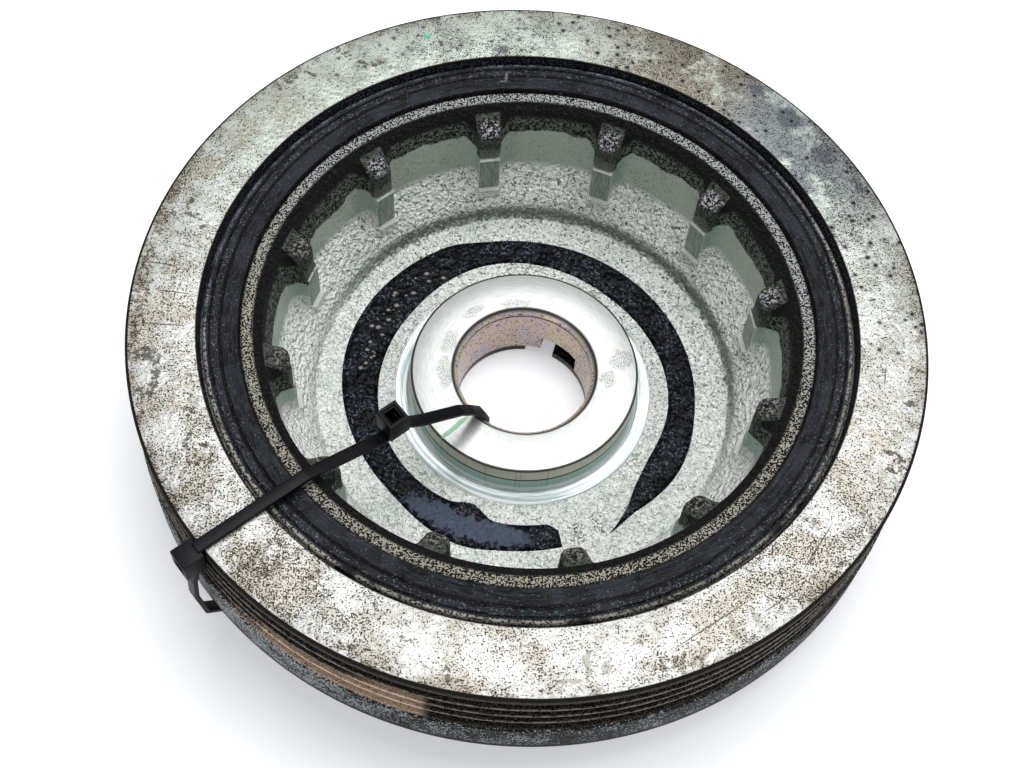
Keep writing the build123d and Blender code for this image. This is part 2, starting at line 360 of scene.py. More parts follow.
def startPiece(name):
    piece = bpy.context.object
    piece.name = name
    piece.data.name = name
    return piece


def selectOnly(piece):
    bpy.ops.object.select_all(action="DESELECT")
    piece.select_set(True)
    bpy.context.view_layer.objects.active = piece


def applyPlace(piece):
    selectOnly(piece)
    bpy.ops.object.transform_apply(location=True, rotation=True, scale=True)


def joinPieces(parts):
    # the others become part of the first, at their places
    for part in parts:
        applyPlace(part)
    selectOnly(parts[0])
    for part in parts:
        part.select_set(True)
    bpy.ops.object.join()


def finishPiece(piece, material, replaced, smooth=35.0):
    # place goes into the mesh, shading and material are set, the piece is parented to the root
    # body, and the node it replaces is hidden
    applyPlace(piece)
    bpy.ops.object.shade_smooth_by_angle(angle=math.radians(smooth))
    piece.data.materials.clear()
    piece.data.materials.append(material)
    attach(piece, "root")
    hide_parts(replaced)
    print("made", piece.name, len(piece.data.polygons), "faces")
    return piece


def lathe(name, outline, steps):
    # a vertex is extruded along the outline, then spun round the axis
    bpy.ops.object.select_all(action="DESELECT")
    bpy.ops.mesh.primitive_plane_add(size=mm)
    piece = startPiece(name)
    points = [Vector((radius * mm, 0.0, height * mm)) for radius, height in outline]
    bpy.ops.object.mode_set(mode="EDIT")
    bpy.ops.mesh.select_mode(type="VERT")
    bpy.ops.mesh.select_all(action="SELECT")
    bpy.ops.mesh.merge(type="CENTER")
    bpy.ops.transform.translate(value=points[0])
    for start, end in zip(points, points[1:]):
        bpy.ops.mesh.extrude_vertices_move(TRANSFORM_OT_translate={"value": end - start})
    closing = {"value": points[0] - points[-1]}
    bpy.ops.mesh.extrude_vertices_move(TRANSFORM_OT_translate=closing)
    bpy.ops.mesh.select_all(action="SELECT")
    turn = {"steps": steps, "angle": 2 * math.pi, "center": (0, 0, 0), "axis": (0, 0, 1)}
    bpy.ops.mesh.spin(**turn)
    bpy.ops.mesh.select_all(action="SELECT")
    bpy.ops.mesh.remove_doubles(threshold=mergeDistance * mm)
    bpy.ops.mesh.normals_make_consistent(inside=False)
    bpy.ops.object.mode_set(mode="OBJECT")
    return piece


def surface(name, columns, rows, placeOf, closed=True):
    # a grid whose vertices are set by a rule; placeOf(column, row) is in millimetres
    bpy.ops.object.select_all(action="DESELECT")
    bpy.ops.mesh.primitive_grid_add(x_subdivisions=columns, y_subdivisions=rows, size=1)
    piece = startPiece(name)
    for vertex in piece.data.vertices:
        row, column = divmod(vertex.index, columns + 1)
        vertex.co = placeOf(column, row) * mm
    bpy.ops.object.mode_set(mode="EDIT")
    bpy.ops.mesh.select_all(action="SELECT")
    bpy.ops.mesh.remove_doubles(threshold=mergeDistance * mm)
    if closed:
        bpy.ops.mesh.fill_holes(sides=0)
    bpy.ops.mesh.normals_make_consistent(inside=False)
    bpy.ops.object.mode_set(mode="OBJECT")
    return piece


def cutAway(piece, cutter):
    selectOnly(piece)
    cut = piece.modifiers.new("cut", "BOOLEAN")
    cut.operation = "DIFFERENCE"
    cut.solver = "MANIFOLD"
    cut.object = cutter
    bpy.ops.object.modifier_apply(modifier=cut.name)
    bpy.data.objects.remove(cutter)


def relief(piece, group, size, height, middle=0.5):
    # small unevenness of a cast or brushed surface, in the mesh itself
    pattern = bpy.data.textures.new(piece.name + group, "CLOUDS")
    pattern.noise_scale = size * mm
    pattern.noise_depth = 3
    selectOnly(piece)
    push = piece.modifiers.new("relief", "DISPLACE")
    push.texture = pattern
    push.texture_coords = "LOCAL"
    push.vertex_group = group
    push.strength = height * mm
    push.mid_level = middle
    bpy.ops.object.modifier_apply(modifier=push.name)


def thicken(piece, thickness):
    # a thin sheet gets a wall below it
    selectOnly(piece)
    wall = piece.modifiers.new("wall", "SOLIDIFY")
    wall.thickness = thickness * mm
    wall.offset = -1.0
    bpy.ops.object.modifier_apply(modifier=wall.name)


def markVertices(piece, group, rule):
    # rule(radius, height) gives a weight from 0 to 1
    chosen = piece.vertex_groups.new(name=group)
    for vertex in piece.data.vertices:
        x, y, z = vertex.co / mm
        weight = rule(math.hypot(x, y), z)
        if weight > 0:
            chosen.add([vertex.index], weight, "REPLACE")


ring = {
    "radius": 78.5,
    "bore": 64.8,
    "face": 38.7,
    "width": 26.7,
    "bevel": 0.6,
    "flangeRadius": 79.0,
    "flangeWidth": 10.7,
    "flangeChamfer": 1.0,
    "grooves": 4,
    "pitch": 3.56,
    "grooveDepth": 3.24,
    "crestFlat": 0.6,
    "rootFlat": 0.9,
    "firstGroove": 3.3,
    "steps": 256,
    "specks": (         # from azimuth, to azimuth, how much denser
        (10, 80, 0.42), (80, 116, 0.20), (116, 146, 0.55), (150, 186, 0.40), (196, 244, 0.58),
        (244, 300, 0.36), (335, 372, 0.30),
    ),
}


def ringOutline():
    top = ring["face"]
    rear = top - ring["width"]
    flangeTop = rear + ring["flangeWidth"]
    crest = ring["radius"]
    root = crest - ring["grooveDepth"]
    flange = ring["flangeRadius"]
    mouth = (ring["pitch"] - ring["crestFlat"]) / 2     # half widths of a groove
    floor = ring["rootFlat"] / 2
    bore = ring["bore"]
    corners = [(bore, rear + 0.3, 0), (bore, top, 0.35), (crest, top, ring["bevel"])]
    for index in range(ring["grooves"]):
        middle = top - ring["firstGroove"] - index * ring["pitch"]
        corners += [
            (crest, middle + mouth, 0.12),
            (root, middle + floor, 0.15),
            (root, middle - floor, 0.15),
            (crest, middle - mouth, 0.12),
        ]
    corners += [
        (crest, flangeTop + 0.4, 0.15),
        (flange, flangeTop - 0.3, 0.3),
        (flange, rear, ring["flangeChamfer"]),
        (bore, rear, 0.3),
        (bore, rear + 0.31, 0),
    ]
    return filleted(corners, 3)


def buildRing():
    piece = lathe("outerRing", ringOutline(), ring["steps"])
    return finishPiece(piece, ringMaterial(), "inertia_ring", 50.0)


# each mark: azimuth, radius, half length round the ring, half length towards the axis, turn
brownStains = (
    (25, 74.0, 5.5, 3.6, 0), (13, 76.0, 1.5, 2.0, 0), (155, 75.5, 6.0, 1.4, 0),
    (218, 71.0, 4.0, 4.6, 0), (268, 76.0, 14.0, 1.8, 0), (282, 76.5, 8.0, 1.5, 0),
    (110, 76.0, 2.4, 1.6, 0), (126, 67.8, 1.4, 1.8, 20), (238, 69.0, 2.2, 3.0, 10),
    (199, 76.5, 9.0, 1.2, 0), (247, 67.5, 3.0, 1.6, 0),
)
darkDrips = (
    (187, 75.0, 1.0, 1.4, 0), (186, 76.0, 2.0, 0.5, 0), (194, 71.0, 1.5, 0.5, 15),
    (200, 67.3, 0.9, 0.8, 0), (210.5, 68.0, 0.7, 1.6, 25), (229.5, 73.0, 0.9, 0.7, 0),
    (239, 67.5, 0.8, 1.6, 30), (241, 70.3, 2.2, 0.6, 35), (253, 73.2, 5.0, 0.9, 12),
    (257, 74.5, 1.6, 2.4, 20), (250.5, 75.6, 0.8, 2.6, 35), (283, 70.5, 0.7, 2.6, 0),
    (285, 72.8, 1.8, 0.5, 0), (281, 68.0, 1.2, 0.5, 0), (314, 76.0, 1.6, 1.3, 0),
    (317, 75.0, 0.5, 1.8, -25), (325, 73.0, 0.55, 4.2, -28), (328, 69.8, 1.6, 0.9, 0),
    (323, 76.2, 0.4, 2.0, 25), (311.5, 76.5, 0.4, 1.6, 10), (109, 75.0, 0.7, 2.4, 8),
    (111.5, 75.4, 0.6, 2.0, -8), (100, 75.5, 0.5, 1.9, 0), (94, 76.0, 0.5, 1.6, 0),
)
paleDrips = (
    (143, 73.8, 0.8, 1.6, 10), (146.5, 73.5, 0.9, 2.6, 12), (165.5, 73.2, 1.0, 1.2, 0),
    (168, 72.5, 0.7, 3.4, 3), (171, 75.2, 2.2, 0.5, 0), (160, 70.0, 1.2, 0.6, 20),
    (219, 74.0, 1.0, 2.2, 15), (176, 68.5, 1.6, 0.5, 0),
)
bluePatches = (
    (43.5, 74.5, 3.0, 3.0, 0), (52.5, 74.0, 3.0, 2.6, 0), (49, 68.0, 1.8, 1.2, 0),
    (350.5, 67.0, 1.6, 1.1, 0), (36, 75.5, 2.2, 1.5, 0), (60, 75.8, 2.2, 1.2, 0),
)
scratchMarks = (
    (128.5, 71.4, 6.2, 0.16, -9), (149, 71.4, 9.0, 0.16, -7), (138, 74.2, 5.0, 0.13, 4),
    (96, 70.0, 2.5, 0.14, 0), (262, 71.5, 0.14, 4.6, 6), (268, 70.0, 0.14, 3.6, 4),
    (273, 73.0, 0.16, 3.0, 2), (277, 69.5, 0.12, 2.6, 3),
)
tealPaint = ((338, 73.2, 0.9, 0.8, 0),)


def ringMaterial():
    finish = Finish("turnedIron", IOR=1.3, Specular_IOR_Level=0.25)
    step, band, mix, noise = finish.step, finish.band, finish.mix, finish.noise
    height, radius, azimuth = finish.height, finish.radius, finish.azimuth
    top, crestRadius, bore = ring["face"], ring["radius"], ring["bore"]
    rear = top - ring["width"]
    flangeTop = rear + ring["flangeWidth"]
    soft = noise(0.055, 2, 0.6)
    cloudy = noise(0.16, 3, 0.65)
    coarse = noise(1.2, 2, 0.65)
    fine = noise(3.0, 1, 0.5)
    speckled = coarse * 0.28 + fine * 0.72
    # the face: pale iron, warm where it is stained
    greenish = step(finish.y, -25.0, 45.0)
    cleanTone = mix(greenish, "dadad7", "c0c8c0")
    dullTone = mix(greenish, "c3c1ba", "aab2a9")
    pale = mix(step(cloudy, 0.4, 0.62), cleanTone, dullTone)
    warmth = step(soft + (cloudy - 0.5) * 0.8, 0.5, 0.66)
    warmth = warmth * band(azimuth, 90.0, 310.0, 20.0)
    pale = pale.under(warmth * 0.38, "c2b49b")
    rimDirt = step(radius, 75.2, 78.2) * step(cloudy, 0.36, 0.6)
    pale = pale.under(rimDirt * 0.6, "8f8474")
    stained = finish.blots(brownStains, 1.8) * step(coarse, 0.36, 0.6)
    pale = pale.under(stained * 0.75, "877764")
    pale = pale.under(finish.blots(paleDrips, 1.1) * 0.6, "8f887b")
    shaded = band(azimuth, 12.0, 64.0, 10.0) * step(cloudy, 0.30, 0.48)
    shadeTone = mix(step(azimuth, 28.0, 42.0), "8a8172", "777d83")
    pale = pale.under(shaded * 0.85, shadeTone)
    pale = pale.under(finish.blots(bluePatches, 1.4) * 0.8, "585e66")
    # dark specks, denser along some stretches and in the cloudy parts
    dense = 0.24 + rimDirt * 0.30
    for start, end, amount in ring["specks"]:
        dense = dense + band(azimuth, start, end, 9.0) * amount
    gathered = step(cloudy * 0.6 + soft * 0.4, 0.40, 0.56) * 0.7 + 0.3
    dense = dense * gathered + stained * 0.25
    limit = 0.605 - dense.atMost(1.0) * 0.12
    spots = step(speckled - limit, 0.0, 0.022)
    fromPit = finish.cells(0.47) + (fine - 0.5) * 0.22
    pitted = step(azimuth, 100.0, 88.0)
    pitted = pitted.atLeast(band(azimuth, 316.0, 359.0, 6.0) * 0.7)
    pitted = pitted * step(cloudy, 0.42, 0.47)
    pits = step(fromPit, 0.24, 0.17) * pitted
    face = mix(spots * 0.92, pale, "2a2620")
    face = face.under(step(fromPit, 0.40, 0.26) * pitted * 0.45, "6c6d6c")
    face = face.under(pits * 0.92, "1e2022")
    drips = finish.blots(darkDrips, 0.9) * step(coarse, 0.40, 0.52)
    scratches = finish.blots(scratchMarks, 0.12)
    face = face.under(drips.atLeast(scratches) * 0.85, "4f4943")
    face = face.under(finish.blots(tealPaint, 0.5) * 0.8, "58b79d")
    outerEdge = step(radius, crestRadius - 0.75, crestRadius - 0.55)
    edgeLine = outerEdge.atLeast(step(radius, bore + 0.45, bore + 0.15))
    face = face.under(edgeLine, "1a1713")
    # the belt seat: black dirt in the grooves, painted shade at the groove roots, painted
    # highlights along the crests, and a bare rusty stretch
    below = step(height + (azimuth - 190) * 0.2, 32.8, 31.4)
    beforeEnd = step(azimuth + (cloudy - 0.5) * 20 + (fine - 0.5) * 40, 220.0, 212.0)
    bare = step(azimuth, 188.6, 190.6) * below * beforeEnd
    dirtTone = mix(step(speckled, 0.52, 0.56), "0c0a08", "4a4239")
    rust = mix(step(speckled, 0.46, 0.6), "c9ad96", "96806c")
    seat = mix(bare, dirtTone, rust)
    # painted shade with dirt: the groove roots, under the crest above, are black all round, also
    # in the rusty stretch
    seat = seat.under(step(radius, crestRadius - 1.0, crestRadius - 1.6), "070605")
    # painted highlight: a pale line along each crest, over the dirt and the rust
    crest = step(radius, crestRadius - 0.3, crestRadius - 0.1)
    crest = crest * band(height, flangeTop + 0.7, top - 2.4, 0.15)
    crestHighlightTone = mix(bare, "7b7266", "dcc1aa")
    seat = seat.under(crest * 0.8 * step(coarse, 0.55, 0.47), crestHighlightTone)
    # the flange: grey with black dirt, blacker to the front right
    blackening = band(azimuth, 100.0, 196.0, 10.0) * 0.07
    dirt = step(speckled + (cloudy - 0.5) * 0.4 + blackening, 0.47, 0.50)
    flange = mix(dirt, "a7aeb0", "08090b")
    flange = flange.under(step(height, rear + 2.8, rear + 1.8), "08090b")
    side = mix(step(height, flangeTop + 0.4, flangeTop - 0.1), seat, flange)
    onFace = step(height, top - 0.65, top - 0.4)
    color = mix(onFace, side, face)
    # the bore wall is skinned over with rubber
    skin = mix(step(fine, 0.54, 0.6), "0a0b10", "4c525e")
    color = color.under(step(radius, bore + 0.4, bore + 0.2) * (1 - onFace), skin)
    onRear = step(height, rear + 0.3, rear + 0.1)
    color = color.under(onRear, mix(dirt, "6a6a68", "2c2a27"))
    clean = (1 - spots) * (1 - edgeLine) * onFace
    rough = 0.60 - clean * 0.22 + pits * 0.2 - crest * 0.2 * (1 - onFace)
    metal = clean * 0.2 + crest * 0.5 * (1 - onFace)
    bump = finish.bump(noise(0.9, 1, 0.5), 0.28, 0.8)
    return finish.feed(Base_Color=color, Roughness=rough, Metallic=metal, Normal=bump)


rubber = {
    "inner": 56.8,
    "outer": 64.8,
    "front": 37.4,
    "rear": 13.6,
    "seam": (60.45, 60.8),
    "ridge": (60.95, 62.35),
    "bead": 63.3,
    "beadHalf": 0.45,
    "beadHeight": 0.55,
    "valley": 62.6,
    "gap": 64.1,            # beside the outer ring
    "gapDepth": 1.2,
    "stripInner": 58.0,
    "stripOuter": 61.1,
    "stripStart": 60.0,
    "stripEnd": 198.7,
    "stripHeight": 0.25,
    "stripWall": 0.4,
    "stripColumns": 160,
    "stripRows": 8,
    "steps": 288,
}


def rubberOutline():
    front = rubber["front"]
    valley = front - rubber["beadHeight"]
    bead, half, gap = rubber["bead"], rubber["beadHalf"], rubber["gap"]
    seamIn, seamOut = rubber["seam"]
    ridgeIn, ridgeOut = rubber["ridge"]
    corners = [
        (rubber["inner"], rubber["rear"], 0),
        (rubber["inner"], front - 0.9, 0.1),
        (rubber["inner"] + 0.35, front, 0.2),
        (seamIn - 0.25, front, 0.25),
        (seamIn, front - 0.3, 0.12),
        (seamOut, front - 0.3, 0.12),
        (ridgeIn, front - 0.12, 0.12),
        (ridgeOut, front - 0.2, 0.3),
        (rubber["valley"], valley, 0.1),
        (bead - half, front - 0.1, 0.25),
        (bead + half, front - 0.1, 0.25),
        (gap - 0.1, valley, 0.15),
        (gap, front - rubber["gapDepth"], 0.15),
        (rubber["outer"], front - rubber["gapDepth"], 0),
        (rubber["outer"], rubber["rear"], 0),
    ]
    return filleted(corners, 4)


def stripPlace(column, row):
    # a low rounded bar that follows the ring, with rounded ends
    along = column / rubber["stripColumns"]
    arc = rubber["stripEnd"] - rubber["stripStart"]
    azimuth = rubber["stripStart"] + arc * along
    middle = (rubber["stripInner"] + rubber["stripOuter"]) / 2
    halfWidth = (rubber["stripOuter"] - rubber["stripInner"]) / 2
    fromEnd = min(along, 1 - along) * math.radians(arc) * middle
    pinch = min(1.0, fromEnd / halfWidth)
    width = halfWidth * math.sqrt(max(0.0, 1 - (1 - pinch) ** 2))
    across = row / rubber["stripRows"] * 2 - 1
    lift = rubber["stripHeight"] * min(1.0, (1 - abs(across)) * 5) * min(1.0, pinch * 2)
    return polar(azimuth, middle + across * width, rubber["front"] - 0.02 + lift)


def buildRubber():
    piece = lathe("rubberRing", rubberOutline(), rubber["steps"])
    strip = surface("mouldedStrip", rubber["stripColumns"], rubber["stripRows"], stripPlace, False)
    thicken(strip, rubber["stripWall"])
    joinPieces([piece, strip])
    return finishPiece(piece, rubberMaterial(), "rubber_ring", 45.0)


seamFlash = ((351, 60.4, 0.35, 1.5, 10), (350.2, 59.2, 0.7, 0.3, 0))


def rubberMaterial():
    finish = Finish("blackRubber", IOR=1.22)
    step, band, mix, noise = finish.step, finish.band, finish.mix, finish.noise
    radius, azimuth, height = finish.radius, finish.azimuth, finish.height
    fine = noise(2.4, 1, 0.6)
    cloudy = noise(0.13, 2, 0.6)
    swept = noise(1.0, 2, 0.6, finish.stretched(0.35, 2.6, 1.0))
    base = mix(step(swept, 0.4, 0.62), "0b0c10", "25282f")
    base = base.under(step(cloudy, 0.45, 0.62) * 0.5, "33363f")
    onFront = step(height, rubber["front"] - 1.4, rubber["front"] - 0.9)
    # dust on the outer bead, and in the bands beside it
    dusty = band(azimuth, 175.0, 275.0, 18.0).atLeast(band(azimuth, 46.0, 80.0, 8.0))
    dusty = (dusty * 0.35 + 0.65) * step(cloudy, 0.3, 0.55)
    bead = band(radius, 63.2, 64.3, 0.12) * dusty * step(fine, 0.42, 0.52)
    away = step(finish.y - finish.x * 0.4, -10.0, 30.0)
    cream = mix(away, "c2bdb0", "7f8694")
    base = base.under(bead * 0.75, cream)
    dustLine = band(radius, 61.0, 62.7, 0.2) * step(fine, 0.56, 0.68)
    base = base.under(dustLine * 0.55, "6f7175")
    # painted shade: black in the seam groove, down the inner edge beside the hub, in the valley
    # before the bead and in the gap beside the outer ring
    seamShade = band(radius, 60.3, 60.9, 0.1).atLeast(step(radius, 57.4, 56.9))
    valley = band(radius, rubber["valley"] - 0.2, rubber["valley"] + 0.2, 0.12)
    gap = step(radius, rubber["outer"] - 0.4, rubber["outer"] - 0.25).atLeast(valley * 0.7)
    base = base.under(seamShade.atLeast(gap) * 0.95, "040405")
    specks = step(fine, 0.66, 0.72)
    base = base.under(specks * 0.45, "7d818c")
    lineAt = band(azimuth, 38.95, 39.4, 0.1)
    lineAt = lineAt.atLeast(band(azimuth, 219.2, 219.8, 0.12))
    lineAt = lineAt * band(radius, 57.4, 60.2, 0.1)
    flash = finish.blots(seamFlash, 0.4)
    base = base.under(lineAt * 0.6, "0e0e10")
    base = base.under(flash * 0.5, "8a8c90")
    rough = 0.50 + swept * 0.16 - onFront * 0.08 + bead * 0.3
    bump = finish.bump(swept, 0.35, 0.8)
    return finish.feed(Base_Color=base, Roughness=rough, Normal=bump)


hub = {
    "bore": 14.0,
    "collar": 23.8,
    "collarTop": 16.0,
    "neck": 12.0,           # height of the line turned into the collar's side
    "spotFace": 7.6,
    "spotRadius": 27.0,
    "floor": 7.8,
    "floorRadius": 43.6,
    "terrace": (44.8, 10.9),
    "ribs": 12,
    "ribAzimuth": 16.1,
    "ribHalfWidth": 2.3,
    "ribEdge": 0.4,
    "noseEdge": 1.7,
    "ribDraft": 0.15,
    "cornerRadius": 2.8,
    "faceRadius": 47.35,
    "footRadius": 46.4,
    "footHeight": 12.893,
    "ledge": 15.7,
    "faceTop": 25.2,
    "castFace": 47.65,
    "noseHeight": 33.0,
    "noseRadius": 1.6,
    "wallFoot": (50.97, 18.5),
    "wallTop": (52.5, 35.4),
    "rim": (54.3, 36.4),
    "outer": 56.8,
    "rear": 13.2,
    "backSlope": ((53.73, 13.2, 3.0), (49.4, 6.3, 3.0), (46.82, 3.0, 2.0)),
    "web": 3.0,
    "boss": 20.0,
    "windowStart": 13.0,
    "windowStep": 2.0,
    "windowSteps": 19,
    "windowRadii": (13.0, 17.2),
    "windowHeights": (1.9, 6.5),
    "slotAzimuths": (12.0, 219.0),
    "slotSize": (6.3, 20.0, 4.2),
    "castSize": 1.7,
    "castRelief": 0.24,
    "gatherFrom": 30.0,     # columns crowd towards the ribs outside this radius
    "gatherRun": 14.0,
    "halfColumns": 24,
    "planColumns": (3, 6, 10, 16),      # where a rib's face, edge, side and corner end
    "ribRows": (5, 3, 15, 1, 11, 10),
}


def cupFloorLine():
    # from the bore's rear edge over the collar and the floor to the foot of the wall
    bore, collar, top, neck = hub["bore"], hub["collar"], hub["collarTop"], hub["neck"]
    spot, floor = hub["spotFace"], hub["floor"]
    castStart = (hub["spotRadius"] + 0.3, floor, 0)
    machined = filleted([
        (bore, 0.4, 0), (bore, top - 1.4, 0.2), (bore + 1.4, top, 0.2), (collar, top, 0.35),
        (collar, neck + 0.25, 0), (collar - 0.25, neck, 0), (collar, neck - 0.25, 0),
        (collar, spot, 1.0), (hub["spotRadius"], spot, 0.1), castStart,
    ], 3)
    cast = filleted([
        castStart, (hub["floorRadius"], floor, 0.9), (*hub["terrace"], 0.9),
        (hub["footRadius"], hub["footHeight"], 0),
    ])
    return spaced(machined, 4.0) + spaced(cast, 0.7)[1:]


def ribLines():
    # the two lines that the cup's wall runs between: over a rib's face, and down a pocket
    foot = Vector((hub["footRadius"], hub["footHeight"]))
    top = Vector(hub["wallTop"])
    cast = hub["castFace"]
    knots = [
        foot,
        Vector((hub["footRadius"], hub["ledge"])),
        Vector((hub["faceRadius"], hub["ledge"])),
        Vector((hub["faceRadius"], hub["faceTop"])),
        Vector((cast, hub["faceTop"] + 0.3)),
        Vector((cast, hub["noseHeight"] - hub["noseRadius"])),
    ]
    overRib = [foot]
    for start, end, count in zip(knots, knots[1:], hub["ribRows"]):
        overRib += [start.lerp(end, step / count) for step in range(1, count + 1)]
    nose = filleted([(*knots[-1], 0), (cast, hub["noseHeight"], hub["noseRadius"]), (*top, 0)], 8)
    overRib += resampled(nose, hub["ribRows"][-1])[1:]
    pocket = filleted([(*foot, 0), (*hub["wallFoot"], 2.5), (*top, 0)], 6)
    return overRib, resampled(pocket, len(overRib) - 1)


def hubRows():
    # (point over a rib, point in a pocket, how far the columns gather at the ribs)
    rows = []
    for point in cupFloorLine():
        gather = min(1.0, max(0.0, (point.x - hub["gatherFrom"]) / hub["gatherRun"]))
        rows.append((point, point, gather))
    rows += [(rib, wall, 1.0) for rib, wall in zip(*ribLines())][1:]
    outer, rimTop = hub["outer"], hub["rim"][1]
    rimFoot = (outer, rimTop - 1, 0)
    cone = filleted([(*hub["wallTop"], 0), (*hub["rim"], 0.25), (outer, rimTop, 0.3), rimFoot], 3)
    rows += [(point, point, 1.0) for point in spaced(cone, 0.9)[1:]]
    back = filleted([
        rimFoot, (outer, hub["rear"], 0.3), *hub["backSlope"],
        (hub["boss"], hub["web"], 0.4), (hub["boss"], 0.0, 0.3),
        (hub["bore"] + 0.4, 0.0, 0), (hub["bore"], 0.4, 0),
    ], 4)
    backRows = spaced(back, 7.0)[1:-1]
    rows += [(point, point, max(0.0, 0.8 - index / 4)) for index, point in enumerate(backRows)]
    return rows


def planPoint(k, rib, wall):
    # column k of a half pocket: rib face, rib edge, rib side, corner, pocket wall
    depth = wall.x - rib.x
    cast = min(1.0, max(0.0, (rib.y - hub["faceTop"] - 0.2) / 1.5))
    half = hub["ribHalfWidth"] + cast * 0.25
    edge = hub["ribEdge"] + cast * (hub["noseEdge"] - hub["ribEdge"])
    draft = hub["ribDraft"]
    corner = hub["cornerRadius"]
    edgeDepth = min(edge, depth * 0.35)
    cornerDepth = min(corner, depth * 0.6)
    quarter = math.pi / 2
    faceEnd, edgeEnd, sideEnd, cornerEnd = hub["planColumns"]
    if k <= faceEnd:
        side, radius = (half - edge) * k / faceEnd, rib.x
    elif k <= edgeEnd:
        bend = (k - faceEnd) / (edgeEnd - faceEnd) * quarter
        side = half - edge + edge * math.sin(bend)
        radius = rib.x + edgeDepth * (1 - math.cos(bend))
    elif k <= sideEnd:
        run = (k - edgeEnd) / (sideEnd - edgeEnd)
        side = half + draft * run
        radius = rib.x + edgeDepth + (depth - edgeDepth - cornerDepth) * run
    else:
        bend = min(1.0, (k - sideEnd) / (cornerEnd - sideEnd)) * quarter
        side = half + draft + corner * (1 - math.cos(bend))
        radius = wall.x - cornerDepth * (1 - math.sin(bend))
    angle = math.degrees(math.asin(side / radius))
    if k > cornerEnd:
        angle += (180 / hub["ribs"] - angle) * (k - cornerEnd) / (hub["halfColumns"] - cornerEnd)
    share = (radius - rib.x) / depth if depth > 1e-6 else 0.0
    return angle, radius, rib.y + (wall.y - rib.y) * share


def buildHub():
    rows = hubRows()
    half = hub["halfColumns"]
    pitch = 360 / hub["ribs"]

    def placeOf(column, row):
        rib, wall, gather = rows[row % len(rows)]
        sector, k = divmod(column, 2 * half)
        hand = 1 if k <= half else -1
        k = min(k, 2 * half - k)
        angle, radius, height = planPoint(k, rib, wall)
        angle = angle * gather + k / half * pitch / 2 * (1 - gather)
        centre = hub["ribAzimuth"] + pitch * (sector + (hand < 0))
        return polar(centre + hand * angle, radius, height)

    piece = surface("castHub", 2 * half * hub["ribs"], len(rows), placeOf, False)
    markVertices(piece, "cast", castWeight)
    relief(piece, "cast", hub["castSize"], hub["castRelief"])
    for cutter in hubCutters():
        cutAway(piece, cutter)
    return finishPiece(piece, hubMaterial(), "hub", 40.0)


def castWeight(radius, height):
    # how rough the casting is: smooth where it is machined, half as rough on the pocket walls
    castStart = 28.0
    if radius < castStart or height > 35.2 or radius > 53 or height < 7:
        return 0.0
    if radius < hub["castFace"] - 0.05 and hub["ledge"] - 0.2 < height < hub["faceTop"] + 0.2:
        return 0.0
    if height > 20:
        return 0.45
    return min(1.0, (radius - castStart) / 1.5)


def hubCutters():
    # the window in the bore's wall and the two slots across the boss's rear end
    (inner, outer), (low, high) = hub["windowRadii"], hub["windowHeights"]
    corners = [(inner, low), (outer, low), (outer, high), (inner, high)]

    def placeOf(column, row):
        return polar(hub["windowStart"] + hub["windowStep"] * column, *corners[row % 4])

    parts = [surface("windowCutter", hub["windowSteps"], 4, placeOf)]
    for azimuth in hub["slotAzimuths"]:
        bpy.ops.mesh.primitive_cube_add(size=mm)
        slot = startPiece("slotCutter")
        slot.scale = hub["slotSize"]
        slot.location = polar(azimuth, hub["bore"]) * mm
        slot.rotation_euler = (0, 0, -math.radians(azimuth))
        parts.append(slot)
    for part in parts:
        applyPlace(part)
    return parts


collarScuffs = (
    (92, 17.5, 2.2, 1.7, 0), (78, 20.5, 2.4, 2.6, 0), (262, 16.6, 4.0, 1.6, 0),
    (288, 17.0, 3.4, 1.6, 0), (318, 17.6, 2.8, 1.3, 0), (350, 16.2, 3.4, 1.0, 0),
)
collarStripe = ((221.5, 20.2, 0.62, 4.2, 0),)
floorSmudges = ((149.0, 34.6, 1.9, 2.8, 0), (157.5, 35.2, 1.9, 2.6, 0))


